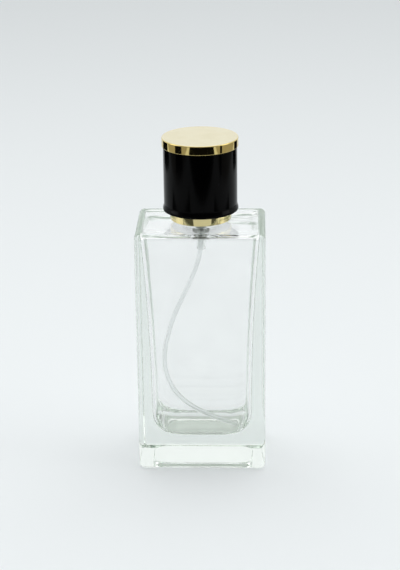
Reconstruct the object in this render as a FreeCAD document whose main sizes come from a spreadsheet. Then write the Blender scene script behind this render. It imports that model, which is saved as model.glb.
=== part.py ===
import FreeCAD, Part
import math
import os

import Sketcher

# A rectangular glass spray bottle: thick clear glass, a crimped fine-mist pump, a gold collar and a lift-off cap.
# Millimetres, +Z up, origin at the middle of the base, front face towards -Y.

SIZES = {
    # glass
    "bottle_width": 54.0,
    "bottle_depth": 38.3,
    "shoulder_height": 106.1,
    "edge_radius": 2.3,
    "base_thickness": 14.2,
    "shoulder_thickness": 1.7,
    "wall_low": 5.8,
    "side_wall_high": 2.4,
    "front_wall_high": 1.5,
    "wall_flare": 2.2,
    "floor_side_radius": 10.4,
    "floor_front_radius": 3.8,
    "cavity_corner_radius": 2.8,
    "cavity_shoulder_radius": 1.5,
    "recess_margin": 5.3,
    "recess_depth": 1.5,
    "recess_corner_radius": 4.5,
    "recess_edge_radius": 1.1,
    # neck finish
    "neck_height": 9.6,
    "neck_radius": 6.45,
    "neck_root": 0.9,
    "bead_radius": 7.5,
    "bead_height": 3.2,
    "bore_radius": 4.7,
    "bore_flare": 1.2,
    # fits
    "slide_clearance": 0.05,
    "piston_clearance": 0.03,
    "press_clearance": 0.02,
    "seat_gap": 0.05,
    # crimp ferrule and gasket
    "gasket_thickness": 0.9,
    "gasket_radius": 7.0,
    "ferrule_sheet": 0.35,
    "ferrule_side_gap": 0.25,
    "crimp_reach": 0.75,
    "turret_hole_radius": 2.8,
    # pump
    "housing_flange_radius": 6.6,
    "housing_flange_thickness": 1.2,
    "housing_radius": 3.55,
    "chamber_radius": 2.65,
    "chamber_depth": 13.9,
    "valve_block_height": 3.5,
    "tail_radius": 1.85,
    "tail_length": 7.1,
    "tail_socket_depth": 5.3,
    "tail_mouth_depth": 1.6,
    "tail_mouth_flare": 0.25,
    "inlet_radius": 0.6,
    "ball_radius": 1.0,
    "ball_seat_rise": 0.5,
    "ball_pocket_radius": 1.15,
    "ball_lip_radius": 0.85,
    "ball_lip_thickness": 0.4,
    "closure_radius": 4.5,
    "closure_height": 3.2,
    "seal_thickness": 0.85,
    "seal_radius": 2.6,
    "stem_radius": 1.5,
    "stem_bore_radius": 0.82,
    "stem_flange_radius": 2.3,
    "stem_flange_thickness": 0.7,
    "spray_stroke": 4.5,
    "stroke_margin": 0.4,
    "rod_foot_radius": 2.1,
    "rod_foot_thickness": 1.0,
    "rod_spigot_radius": 1.3,
    "rod_spigot_length": 0.8,
    "rod_insert_length": 1.1,
    "piston_height": 1.75,
    "piston_waist_radius": 2.2,
    "piston_lip_height": 0.45,
    "return_spring_length": 7.1,
    "return_spring_wire": 0.45,
    "return_spring_radius": 1.85,
    "return_spring_turns": 4.5,
    "precompression_spring_wire": 0.3,
    "precompression_spring_radius": 1.6,
    "precompression_spring_turns": 2.5,
    "dip_tube_radius": 1.05,
    "dip_tube_bore_radius": 0.6,
    # actuator
    "actuator_radius": 5.9,
    "actuator_top_wall": 2.5,
    "actuator_skirt_wall": 0.8,
    "actuator_hub_radius": 2.4,
    "stem_socket_depth": 2.7,
    "spray_channel_radius": 0.6,
    "spray_channel_rise": 0.9,
    "actuator_shell_sheet": 0.33,
    "actuator_shell_lift": 0.3,
    "nozzle_radius": 1.6,
    "nozzle_length": 2.4,
    "nozzle_orifice_radius": 0.2,
    "nozzle_swirl_depth": 1.5,
    # collar
    "collar_lift": 1.8,
    "collar_flange_radius": 12.75,
    "collar_flange_height": 4.4,
    "collar_sleeve_radius": 9.2,
    "collar_sleeve_height": 9.7,
    "collar_sheet": 0.5,
    "collar_mouth_radius": 6.9,
    "retainer_lift": 0.5,
    "retainer_snap_radius": 7.4,
    "retainer_cover": 0.45,
    # cap
    "cap_lift": 5.8,
    "cap_radius": 15.3,
    "cap_rim_radius": 15.75,
    "cap_rim_height": 0.5,
    "cap_flare_height": 2.8,
    "cap_wall": 1.4,
    "cap_height": 27.1,
    "cap_top_thickness": 0.8,
    "lid_radius": 15.85,
    "lid_height": 3.8,
    "lid_wall": 1.5,
    "lid_top_thickness": 1.2,
    "lid_edge_radius": 0.6,
    "lid_boss_wall": 1.4,
    "lid_boss_height": 2.4,
    "liner_wall": 1.1,
    "liner_flange_thickness": 1.2,
    "liner_top_thickness": 0.85,
    "liner_rib_thickness": 1.0,
    "liner_rib_count": 8,
}


class Size:
    """A size that knows both its number and the sheet expression that gives it."""

    def __init__(self, text, number):
        self.text = text
        self.number = number

    def joined(self, sign, other, number):
        return Size(f"({self.text} {sign} {other.text})", number)

    def __add__(self, other):
        other = as_size(other)
        return self.joined("+", other, self.number + other.number)

    def __sub__(self, other):
        other = as_size(other)
        return self.joined("-", other, self.number - other.number)

    def __mul__(self, other):
        other = as_size(other)
        return self.joined("*", other, self.number * other.number)

    def __truediv__(self, other):
        other = as_size(other)
        return self.joined("/", other, self.number / other.number)

    def __pow__(self, other):
        other = as_size(other)
        return self.joined("^", other, self.number**other.number)

    __radd__ = __add__
    __rmul__ = __mul__


def as_size(value):
    return value if isinstance(value, Size) else Size(repr(float(value)), float(value))


doc = FreeCAD.newDocument("spray_bottle")
sheet = doc.addObject("Spreadsheet::Sheet", "sizes")
for row, (alias, number) in enumerate(SIZES.items(), start=1):
    sheet.set(f"A{row}", alias)
    sheet.set(f"B{row}", str(number))
    sheet.setAlias(f"B{row}", alias)
doc.recompute()


def size(alias):
    return Size(f"sizes.{alias}", SIZES[alias])


ZERO = Size("0", 0.0)

# Levels and radii that several pieces share.
ceiling = size("shoulder_height") - size("shoulder_thickness")
neck_top = size("shoulder_height") + size("neck_height")
bead_bottom = neck_top - size("bead_height")
gasket_top = neck_top + size("gasket_thickness")
housing_top = gasket_top + size("housing_flange_thickness")
chamber_floor = housing_top - size("chamber_depth")
housing_step = chamber_floor - size("valve_block_height")
tail_end = housing_step - size("tail_length")
tube_top = tail_end + size("tail_socket_depth")
closure_top = housing_top + size("closure_height")
turret_radius = size("closure_radius") + size("slide_clearance")
turret_top = closure_top + size("seat_gap") + size("ferrule_sheet")
ferrule_inner_radius = size("bead_radius") + size("ferrule_side_gap")
ferrule_radius = ferrule_inner_radius + size("ferrule_sheet")
ferrule_top = housing_top + size("ferrule_sheet")
ferrule_bottom = bead_bottom - size("seat_gap") - size("ferrule_sheet")
seal_bottom = housing_top - size("seal_thickness")
stem_flange_top = seal_bottom - size("seat_gap")
stem_bottom = stem_flange_top - size("stem_flange_thickness")
stem_hole_radius = size("stem_radius") + size("slide_clearance")
rod_foot_bottom = chamber_floor + size("return_spring_length")
rod_foot_top = rod_foot_bottom + size("rod_foot_thickness")
rod_radius = size("stem_bore_radius") - size("press_clearance")
piston_bottom = rod_foot_top + size("seat_gap")
piston_top = piston_bottom + size("piston_height")
pressed_room = size("spray_stroke") + size("stroke_margin")
hub_bottom = closure_top + pressed_room
skirt_ceiling = turret_top + pressed_room
skirt_bottom = ferrule_top + pressed_room
stem_top = hub_bottom + size("stem_socket_depth")
spray_level = stem_top + size("spray_channel_rise")
actuator_top = spray_level + size("actuator_top_wall")
actuator_shell_inner = size("actuator_radius") + size("press_clearance")
actuator_shell_radius = actuator_shell_inner + size("actuator_shell_sheet")
actuator_shell_top = actuator_top + size("press_clearance") + size("actuator_shell_sheet")
collar_bottom = size("shoulder_height") + size("collar_lift")
collar_flange_top = collar_bottom + size("collar_flange_height")
collar_top = collar_flange_top + size("collar_sleeve_height")
collar_sleeve_inner = size("collar_sleeve_radius") - size("collar_sheet")
cap_bottom = size("shoulder_height") + size("cap_lift")
cap_top = cap_bottom + size("cap_height")
cap_ceiling = cap_top - size("cap_top_thickness")
cap_inner_radius = size("cap_radius") - size("cap_wall")
liner_bore_radius = size("collar_sleeve_radius") + size("slide_clearance")
liner_tube_radius = liner_bore_radius + size("liner_wall")
liner_radius = cap_inner_radius - size("press_clearance")
liner_bottom = collar_flange_top + size("seat_gap")
liner_top = cap_ceiling - size("press_clearance")
liner_ceiling = liner_top - size("liner_top_thickness")
lid_inner_radius = size("lid_radius") - size("lid_wall")
lid_top = cap_top + size("lid_height")


def origin_plane(body, role):
    return next(f for f in body.Origin.OriginFeatures if f.Role == role)


def new_body(label):
    body = doc.addObject("PartDesign::Body", label)
    body.Label = label
    return body


def new_sketch(body, name, role, height=None):
    """A sketch on one of the body's own planes, lifted to a height when one is given."""
    sketch = body.newObject("Sketcher::SketchObject", name)
    sketch.AttachmentSupport = [(origin_plane(body, role), "")]
    sketch.MapMode = "FlatFace"
    if height is not None:
        sketch.AttachmentOffset = FreeCAD.Placement(
            FreeCAD.Vector(0, 0, height.number), FreeCAD.Rotation()
        )
        sketch.setExpression("AttachmentOffset.Base.z", height.text)
    return sketch


def bind(sketch, constraint, value):
    """Add one dimension to a sketch and tie it to the sheet."""
    index = sketch.addConstraint(constraint)
    sketch.setExpression(f"Constraints[{index}]", value.text)


def pin_start(sketch, line, across, along):
    """Hold a line's first point at a distance from each sketch axis."""
    for kind, axis, value in (("DistanceX", -2, across), ("DistanceY", -1, along)):
        if value is ZERO:
            sketch.addConstraint(Sketcher.Constraint("PointOnObject", line, 1, axis))
        else:
            bind(sketch, Sketcher.Constraint(kind, -1, 1, line, 1, value.number), value)


def draw_outline(sketch, points):
    """A closed outline of straight lines through points given as (distance from axis, height)."""
    corners = [FreeCAD.Vector(across.number, along.number, 0) for across, along in points]
    count = len(points)
    for i in range(count):
        sketch.addGeometry(Part.LineSegment(corners[i], corners[(i + 1) % count]), False)
    for i, (across, along) in enumerate(points):
        sketch.addConstraint(Sketcher.Constraint("Coincident", i, 2, (i + 1) % count, 1))
        pin_start(sketch, i, across, along)


def draw_rounded_rectangle(sketch, half_x, half_y, radius):
    """A centred rectangle with round corners: lines 0 to 3 and arcs 4 to 7, clockwise from the top line."""
    x, y, r = half_x.number, half_y.number, radius.number
    ends = [
        ((r - x, y), (x - r, y)),
        ((x, y - r), (x, r - y)),
        ((x - r, -y), (r - x, -y)),
        ((-x, r - y), (-x, y - r)),
    ]
    for start, end in ends:
        sketch.addGeometry(Part.LineSegment(FreeCAD.Vector(*start, 0), FreeCAD.Vector(*end, 0)), False)
    centres = [(x - r, y - r), (x - r, r - y), (r - x, r - y), (r - x, y - r)]
    for quarter, centre in enumerate(centres):
        circle = Part.Circle(FreeCAD.Vector(*centre, 0), FreeCAD.Vector(0, 0, 1), r)
        start_angle = -quarter * math.pi / 2
        sketch.addGeometry(Part.ArcOfCircle(circle, start_angle, start_angle + math.pi / 2), False)
    for side in range(4):
        arc = side + 4
        sketch.addConstraint(Sketcher.Constraint("Tangent", side, 2, arc, 2))
        sketch.addConstraint(Sketcher.Constraint("Tangent", arc, 1, (side + 1) % 4, 1))
        if side:
            sketch.addConstraint(Sketcher.Constraint("Equal", 4, arc))
    sketch.addConstraint(Sketcher.Constraint("Symmetric", 0, 1, 0, 2, -2))
    sketch.addConstraint(Sketcher.Constraint("Symmetric", 1, 1, 1, 2, -1))
    sketch.addConstraint(Sketcher.Constraint("Horizontal", 2))
    sketch.addConstraint(Sketcher.Constraint("Vertical", 3))
    bind(sketch, Sketcher.Constraint("Radius", 4, r), radius)
    bind(sketch, Sketcher.Constraint("DistanceX", -1, 1, 1, 1, x), half_x)
    bind(sketch, Sketcher.Constraint("DistanceY", -1, 1, 0, 1, y), half_y)


def draw_circle(sketch, radius, height):
    """A circle on the sketch's vertical axis at a height."""
    circle = Part.Circle(FreeCAD.Vector(0, height.number, 0), FreeCAD.Vector(0, 0, 1), radius.number)
    sketch.addGeometry(circle, False)
    sketch.addConstraint(Sketcher.Constraint("PointOnObject", 0, 3, -2))
    bind(sketch, Sketcher.Constraint("DistanceY", -1, 1, 0, 3, height.number), height)
    bind(sketch, Sketcher.Constraint("Radius", 0, radius.number), radius)


def turn(body, name, points, feature="Revolution"):
    """Turn an outline of (radius, height) points about the vertical axis, as material or as a groove."""
    sketch = new_sketch(body, f"{name}_outline", "XZ_Plane")
    draw_outline(sketch, points)
    turned = body.newObject(f"PartDesign::{feature}", name)
    turned.Profile = sketch
    turned.ReferenceAxis = (sketch, ["V_Axis"])
    turned.Angle = 360
    return turned


def turned_piece(label, points):
    body = new_body(label)
    turn(body, f"{label}_turn", points)
    return body


def ring(inner, outer, bottom, top):
    """The outline of a plain ring or tube."""
    return [(inner, bottom), (outer, bottom), (outer, top), (inner, top)]


def round_edges(body, name, radius, chosen):
    """Round the edges of the body's last feature that the test picks."""
    doc.recompute()
    base = body.Tip
    names = [f"Edge{i}" for i, edge in enumerate(base.Shape.Edges, start=1) if chosen(edge)]
    rounded = body.newObject("PartDesign::Fillet", name)
    rounded.Base = (base, names)
    rounded.setExpression("Radius", radius.text)
    return rounded


def at_height(edge, height):
    """True for an edge that lies flat at a height."""
    box = edge.BoundBox
    return abs(box.ZMin - height.number) < 1e-4 and abs(box.ZMax - height.number) < 1e-4


def circle_at(edge, radius, height):
    return at_height(edge, height) and abs(edge.BoundBox.XMax - radius.number) < 1e-3


def cut_removed(body, before, name):
    """Stop when a cut took nothing away."""
    doc.recompute()
    if not body.Shape.Volume < before - 1e-3:
        raise RuntimeError(f"{name} cut nothing")


def cavity_wall(height, thinnest):
    """Glass thickness round the inside at a height: thick at the floor, thin under the shoulder."""
    share = (height - size("base_thickness")) / (ceiling - size("base_thickness"))
    return size("wall_low") - (size("wall_low") - thinnest) * share ** size("wall_flare")


def cavity_sections():
    """(height, half width, half depth) of the inside, from its round-edged floor to its ceiling."""
    side, front = size("floor_side_radius"), size("floor_front_radius")
    sections = []
    for degrees in (0, 22.5, 45, 67.5, 90):
        rise = side * (1 - math.cos(math.radians(degrees)))
        side_inset = side * (1 - math.sin(math.radians(degrees)))
        drop = max(0.0, 1 - rise.number / front.number)
        front_inset = front * (1 - math.sqrt(1 - drop * drop))
        sections.append((size("base_thickness") + rise, side_inset, front_inset))
    wall_foot = size("base_thickness") + side
    wall_head = ceiling - size("cavity_shoulder_radius")
    for share in (0.3, 0.55, 0.75, 0.9, 1.0):
        sections.append((wall_foot + (wall_head - wall_foot) * share, ZERO, ZERO))
    for degrees in (45, 90):
        inset = size("cavity_shoulder_radius") * (1 - math.cos(math.radians(degrees)))
        rise = size("cavity_shoulder_radius") * math.sin(math.radians(degrees))
        sections.append((wall_head + rise, inset, inset))
    half_width, half_depth = size("bottle_width") / 2, size("bottle_depth") / 2
    side_wall, front_wall = size("side_wall_high"), size("front_wall_high")
    return [
        (
            height,
            half_width - cavity_wall(height, side_wall) - inset_x,
            half_depth - cavity_wall(height, front_wall) - inset_y,
        )
        for height, inset_x, inset_y in sections
    ]


def glass_bottle():
    """Rounded block with a neck, hollowed by a cavity that widens upwards, with a shallow recess under the base."""
    body = new_body("glass_bottle")
    half_width, half_depth = size("bottle_width") / 2, size("bottle_depth") / 2
    block_sketch = new_sketch(body, "block_outline", "XY_Plane")
    draw_rounded_rectangle(block_sketch, half_width, half_depth, size("edge_radius"))
    block = body.newObject("PartDesign::Pad", "block")
    block.Profile = block_sketch
    block.setExpression("Length", "sizes.shoulder_height")
    rims = [ZERO, size("shoulder_height")]
    rim_radius = size("edge_radius") - size("press_clearance")
    round_edges(body, "block_edges", rim_radius, lambda e: any(at_height(e, z) for z in rims))

    turn(
        body,
        "neck",
        [
            (ZERO, ceiling),
            (size("neck_radius") + size("neck_root"), ceiling),
            (size("neck_radius") + size("neck_root"), size("shoulder_height")),
            (size("neck_radius"), size("shoulder_height") + size("neck_root")),
            (size("neck_radius"), bead_bottom),
            (size("bead_radius"), bead_bottom),
            (size("bead_radius"), neck_top),
            (ZERO, neck_top),
        ],
    )
    round_edges(body, "bead_edge", size("neck_root") / 2, lambda e: circle_at(e, size("bead_radius"), neck_top))

    before = body.Shape.Volume
    sections = []
    for i, (height, half_x, half_y) in enumerate(cavity_sections()):
        sketch = new_sketch(body, f"cavity_section_{i}", "XY_Plane", height)
        draw_rounded_rectangle(sketch, half_x, half_y, size("cavity_corner_radius"))
        sections.append(sketch)
    cavity = body.newObject("PartDesign::SubtractiveLoft", "cavity")
    cavity.Profile = sections[0]
    cavity.Sections = sections[1:]
    cavity.Ruled = False
    cut_removed(body, before, "cavity")
    block_volume = body.Shape.Volume
    print(f"brimful capacity to the ceiling {(before - block_volume) / 1000:.1f} ml")

    flare_top = ceiling + size("bore_flare")
    bore = [
        (ZERO, ceiling - size("bore_flare")),
        (size("bore_radius") + size("bore_flare"), ceiling - size("bore_flare")),
        (size("bore_radius") + size("bore_flare"), ceiling),
        (size("bore_radius"), flare_top),
        (size("bore_radius"), neck_top),
        (ZERO, neck_top),
    ]
    turn(body, "bore", bore, "Groove")
    cut_removed(body, block_volume, "bore")

    before = body.Shape.Volume
    recess_sketch = new_sketch(body, "recess_outline", "XY_Plane")
    draw_rounded_rectangle(
        recess_sketch,
        half_width - size("recess_margin"),
        half_depth - size("recess_margin"),
        size("recess_corner_radius"),
    )
    recess = body.newObject("PartDesign::Pocket", "recess")
    recess.Profile = recess_sketch
    recess.Reversed = True
    recess.setExpression("Length", "sizes.recess_depth")
    cut_removed(body, before, "recess")
    round_edges(body, "recess_edges", size("recess_edge_radius"), lambda e: at_height(e, size("recess_depth")))
    return body


def crimp_ferrule():
    """Thin metal cup over the bead, turned in under it, with a turret that holds the stem's bush."""
    outer, inner = ferrule_radius, ferrule_inner_radius
    turret_outer = turret_radius + size("ferrule_sheet")
    crimp_radius = size("bead_radius") - size("crimp_reach")
    turret_lip = turret_top - size("ferrule_sheet")
    return turned_piece(
        "crimp_ferrule",
        [
            (crimp_radius, ferrule_bottom),
            (outer, ferrule_bottom),
            (outer, ferrule_top),
            (turret_outer, ferrule_top),
            (turret_outer, turret_top),
            (size("turret_hole_radius"), turret_top),
            (size("turret_hole_radius"), turret_lip),
            (turret_radius, turret_lip),
            (turret_radius, housing_top),
            (inner, housing_top),
            (inner, ferrule_bottom + size("ferrule_sheet")),
            (crimp_radius, ferrule_bottom + size("ferrule_sheet")),
        ],
    )


def pump_housing():
    """Flanged pump body: chamber, ball valve with a retaining lip, and a tail whose socket widens at its mouth."""
    seat = housing_step + size("ball_seat_rise")
    cone_height = size("ball_pocket_radius") - size("inlet_radius")
    lip_bottom = chamber_floor - size("ball_lip_thickness")
    socket_radius = size("dip_tube_radius") + size("press_clearance")
    socket_top = tube_top + size("seat_gap")
    return turned_piece(
        "pump_housing",
        [
            (socket_radius, tail_end + size("tail_mouth_depth")),
            (socket_radius + size("tail_mouth_flare"), tail_end),
            (size("tail_radius"), tail_end),
            (size("tail_radius"), housing_step),
            (size("housing_radius"), housing_step),
            (size("housing_radius"), gasket_top),
            (size("housing_flange_radius"), gasket_top),
            (size("housing_flange_radius"), housing_top),
            (size("chamber_radius"), housing_top),
            (size("chamber_radius"), chamber_floor),
            (size("ball_lip_radius"), chamber_floor),
            (size("ball_lip_radius"), lip_bottom),
            (size("ball_pocket_radius"), lip_bottom),
            (size("ball_pocket_radius"), seat + cone_height),
            (size("inlet_radius"), seat),
            (size("inlet_radius"), socket_top),
            (socket_radius, socket_top),
        ],
    )


def stem():
    """Hollow stem with the flange that stops it under the seal."""
    bore, flange = size("stem_bore_radius"), size("stem_flange_radius")
    return turned_piece(
        "stem",
        [
            (bore, stem_bottom),
            (flange, stem_bottom),
            (flange, stem_flange_top),
            (size("stem_radius"), stem_flange_top),
            (size("stem_radius"), stem_top),
            (bore, stem_top),
        ],
    )


def piston_rod():
    """Rod pressed into the stem, with a foot that the return spring pushes and a spigot that centres it."""
    spigot_end = rod_foot_bottom - size("rod_spigot_length")
    return turned_piece(
        "piston_rod",
        [
            (ZERO, spigot_end),
            (size("rod_spigot_radius"), spigot_end),
            (size("rod_spigot_radius"), rod_foot_bottom),
            (size("rod_foot_radius"), rod_foot_bottom),
            (size("rod_foot_radius"), rod_foot_top),
            (rod_radius, rod_foot_top),
            (rod_radius, stem_bottom + size("rod_insert_length")),
            (ZERO, stem_bottom + size("rod_insert_length")),
        ],
    )


def piston():
    """Ring with a sealing lip at each end and a narrower waist."""
    hole = rod_radius + size("slide_clearance")
    lip = size("chamber_radius") - size("piston_clearance")
    waist, step = size("piston_waist_radius"), size("piston_lip_height")
    slope = lip - waist
    return turned_piece(
        "piston",
        [
            (hole, piston_bottom),
            (lip, piston_bottom),
            (lip, piston_bottom + step),
            (waist, piston_bottom + step + slope / 4),
            (waist, piston_top - step - slope / 4),
            (lip, piston_top - step),
            (lip, piston_top),
            (hole, piston_top),
        ],
    )


def check_ball():
    """Ball just clear of its 45 degree seat."""
    ball = doc.addObject("Part::Sphere", "check_ball")
    ball.Label = "check_ball"
    seat = housing_step + size("ball_seat_rise")
    centre = seat + size("ball_radius") * math.sqrt(2) - size("inlet_radius") + size("piston_clearance")
    ball.setExpression("Radius", "sizes.ball_radius")
    ball.setExpression("Placement.Base.z", centre.text)
    return ball


def biarc(start, start_way, end, end_way):
    """Two arcs that leave start along start_way and reach end along end_way, tangent where they meet."""
    across = end - start
    ways = start_way + end_way
    spread = 2 * (1 - start_way.dot(end_way))
    reach = (math.sqrt(across.dot(ways) ** 2 + spread * across.dot(across)) - across.dot(ways)) / spread
    first_corner = start + start_way * reach
    last_corner = end - end_way * reach
    middle = (first_corner + last_corner) * 0.5
    edges = []
    for tip, corner, tail in ((start, first_corner, middle), (middle, last_corner, end)):
        chord = tail - tip
        weight = (corner - tip).dot(chord) / (corner - tip).Length / chord.Length
        crest = (tip + tail + corner * (2 * weight)) * (0.5 / (1 + weight))
        edges.append(Part.Arc(tip, crest, tail).toShape())
    return edges


def spring(label, radius, wire, turns, bottom, length):
    """A compression spring between two flat seats, wound as one unbroken wire."""
    first = bottom + wire / 2 + SIZES["press_clearance"]
    climb = length - wire - 2 * SIZES["press_clearance"]
    quarters = round(turns * 4)

    def point(angle):
        height = first + climb * angle / (turns * 2 * math.pi)
        return FreeCAD.Vector(radius * math.cos(angle), radius * math.sin(angle), height)

    def way(angle):
        direction = FreeCAD.Vector(
            -radius * math.sin(angle), radius * math.cos(angle), climb / (turns * 2 * math.pi)
        )
        return direction.normalize()

    edges = []
    for quarter in range(quarters):
        here, there = quarter * math.pi / 2, (quarter + 1) * math.pi / 2
        edges += biarc(point(here), way(here), point(there), way(there))
    section = Part.Wire([Part.Circle(point(0), way(0), wire / 2).toShape()])
    piece = doc.addObject("Part::Feature", label)
    piece.Label = label
    piece.Shape = Part.Wire(edges).makePipeShell([section], True, False)

    steps = 48
    trail = [point(i * 2 * math.pi / steps) for i in range(round(turns * steps) + 1)]
    gap = min(
        trail[i].distanceToPoint(trail[j]) - wire
        for i in range(len(trail))
        for j in range(i + steps // 2, len(trail))
    )
    print(f"{label}: least gap to itself {gap:.2f} mm")
    if gap <= 0.4:
        raise RuntimeError(f"{label} is wound too tight")
    return piece


def springs():
    spring(
        "return_spring",
        SIZES["return_spring_radius"],
        SIZES["return_spring_wire"],
        SIZES["return_spring_turns"],
        chamber_floor.number,
        SIZES["return_spring_length"],
    )
    spring(
        "precompression_spring",
        SIZES["precompression_spring_radius"],
        SIZES["precompression_spring_wire"],
        SIZES["precompression_spring_turns"],
        piston_top.number,
        stem_bottom.number - piston_top.number,
    )


def dip_tube_route():
    """The dip tube's bends below its straight start in the pump's tail, chosen by hand."""
    start = [(0.0, 0.0, tube_top.number), (0.0, 0.0, tail_end.number - 1.8)]
    bends = [
        (-4.0, -2.0, 81.0),
        (-8.5, -2.0, 72.0),
        (-12.5, -2.0, 63.0),
        (-15.5, -2.0, 52.5),
        (-16.5, -2.0, 43.0),
        (-14.5, -2.5, 34.5),
        (-9.5, -3.5, 27.0),
        (2.0, -4.5, 20.0),
        (14.9, -6.4, 16.6),
    ]
    return [FreeCAD.Vector(*p) for p in start + bends]


def smooth_path(points, label):
    """Straight runs joined by tangent arcs, each arc as large as its two runs allow."""
    edges, here, radii = [], points[0], []
    for before, corner, after in zip(points, points[1:], points[2:]):
        way_in = (corner - before).normalize()
        way_out = (after - corner).normalize()
        half_turn = way_in.getAngle(way_out) / 2
        reach = 0.45 * min((corner - before).Length, (after - corner).Length)
        radii.append(reach / math.tan(half_turn))
        tip, tail = corner - way_in * reach, corner + way_out * reach
        middle = (tip + tail) * 0.5
        crest = corner + (middle - corner).normalize() * radii[-1] * (1 / math.cos(half_turn) - 1)
        edges.append(Part.LineSegment(here, tip).toShape())
        edges.append(Part.Arc(tip, crest, tail).toShape())
        here = tail
    edges.append(Part.LineSegment(here, points[-1]).toShape())
    print(f"{label}: radii", [round(r, 1) for r in radii])
    return Part.Wire(edges)


def dip_tube():
    """Hollow tube from the pump's tail to the cavity's right bottom corner."""
    points = dip_tube_route()
    path = smooth_path(points, "dip_tube")
    way = (points[1] - points[0]).normalize()

    def swept(radius):
        section = Part.Wire([Part.Circle(points[0], way, radius).toShape()])
        return path.makePipeShell([section], True, False)

    outer, bore = SIZES["dip_tube_radius"], SIZES["dip_tube_bore_radius"]
    piece = doc.addObject("Part::Feature", "dip_tube")
    piece.Label = "dip_tube"
    piece.Shape = swept(outer).cut(swept(bore))
    expected = math.pi * (outer**2 - bore**2) * path.Length
    print(f"dip_tube: length {path.Length:.1f} mm, volume {piece.Shape.Volume:.2f}, expected {expected:.2f}")
    return piece


def actuator_core():
    """Push button: skirt over the turret, hub on the stem, and a channel to the nozzle's pocket in front."""
    body = new_body("actuator_core")
    outer = size("actuator_radius")
    socket = size("stem_radius") + size("press_clearance")
    channel_top = spray_level + size("spray_channel_radius") * 1.5
    turn(
        body,
        "button",
        [
            (socket, hub_bottom),
            (size("actuator_hub_radius"), hub_bottom),
            (size("actuator_hub_radius"), skirt_ceiling),
            (outer - size("actuator_skirt_wall"), skirt_ceiling),
            (outer - size("actuator_skirt_wall"), skirt_bottom),
            (outer, skirt_bottom),
            (outer, actuator_top),
            (ZERO, actuator_top),
            (ZERO, channel_top),
            (size("stem_bore_radius"), channel_top),
            (size("stem_bore_radius"), stem_top + size("seat_gap")),
            (socket, stem_top + size("seat_gap")),
        ],
    )
    pocket_radius = size("nozzle_radius") + size("press_clearance")
    pocket_floor = actuator_shell_radius - size("nozzle_length") - size("press_clearance")
    for name, radius, start in (
        ("spray_channel", size("spray_channel_radius"), ZERO),
        ("nozzle_pocket", pocket_radius, pocket_floor),
    ):
        front_hole(body, name, radius, start, size("actuator_radius"))
    return body


def front_hole(body, name, radius, start, end):
    """Bore a round hole at the spray level, from one distance in front of the axis to another."""
    doc.recompute()
    before = body.Shape.Volume
    sketch = new_sketch(body, f"{name}_outline", "XZ_Plane", start)
    draw_circle(sketch, radius, spray_level)
    hole = body.newObject("PartDesign::Pocket", name)
    hole.Profile = sketch
    hole.Reversed = True
    hole.setExpression("Length", (end - start + size("actuator_shell_sheet")).text)
    cut_removed(body, before, name)


def actuator_shell():
    """Thin gold sleeve over the button, open below, with a window for the nozzle."""
    body = new_body("actuator_shell")
    bottom = skirt_bottom + size("actuator_shell_lift")
    under_top = actuator_shell_top - size("actuator_shell_sheet")
    turn(
        body,
        "sleeve",
        [
            (actuator_shell_inner, bottom),
            (actuator_shell_radius, bottom),
            (actuator_shell_radius, actuator_shell_top),
            (ZERO, actuator_shell_top),
            (ZERO, under_top),
            (actuator_shell_inner, under_top),
        ],
    )
    edge_radius = size("actuator_shell_sheet")
    round_edges(
        body, "sleeve_edge", edge_radius, lambda e: circle_at(e, actuator_shell_radius, actuator_shell_top)
    )
    window = size("nozzle_radius") + size("slide_clearance")
    front_hole(body, "nozzle_window", window, size("actuator_hub_radius"), actuator_shell_radius)
    return body


def nozzle_insert():
    """Small cup pressed into the button's front, with a swirl chamber behind its orifice."""
    body = new_body("nozzle_insert")
    back = actuator_shell_radius - size("nozzle_length")
    sketch = new_sketch(body, "nozzle_outline", "XZ_Plane", back)
    draw_circle(sketch, size("nozzle_radius"), spray_level)
    cup = body.newObject("PartDesign::Pad", "nozzle_cup")
    cup.Profile = sketch
    cup.setExpression("Length", (size("nozzle_length") - size("press_clearance")).text)
    for name, radius, depth in (
        ("swirl_chamber", size("spray_channel_radius"), size("nozzle_swirl_depth")),
        ("orifice", size("nozzle_orifice_radius"), size("nozzle_length")),
    ):
        doc.recompute()
        before = body.Shape.Volume
        hole_sketch = new_sketch(body, f"{name}_outline", "XZ_Plane", back)
        draw_circle(hole_sketch, radius, spray_level)
        hole = body.newObject("PartDesign::Pocket", name)
        hole.Profile = hole_sketch
        hole.Reversed = True
        hole.setExpression("Length", depth.text)
        cut_removed(body, before, name)
    return body


def collar_shell():
    """Gold collar: an upright band with a flat step for the cap, and a sleeve that the cap's liner grips."""
    outer, sheet_thickness = size("collar_flange_radius"), size("collar_sheet")
    return turned_piece(
        "collar_shell",
        [
            (outer - sheet_thickness, collar_bottom),
            (outer, collar_bottom),
            (outer, collar_flange_top),
            (size("collar_sleeve_radius"), collar_flange_top),
            (size("collar_sleeve_radius"), collar_top),
            (size("collar_mouth_radius"), collar_top),
            (size("collar_mouth_radius"), collar_top - sheet_thickness),
            (collar_sleeve_inner, collar_top - sheet_thickness),
            (collar_sleeve_inner, collar_flange_top - sheet_thickness),
            (outer - sheet_thickness, collar_flange_top - sheet_thickness),
        ],
    )


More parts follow.
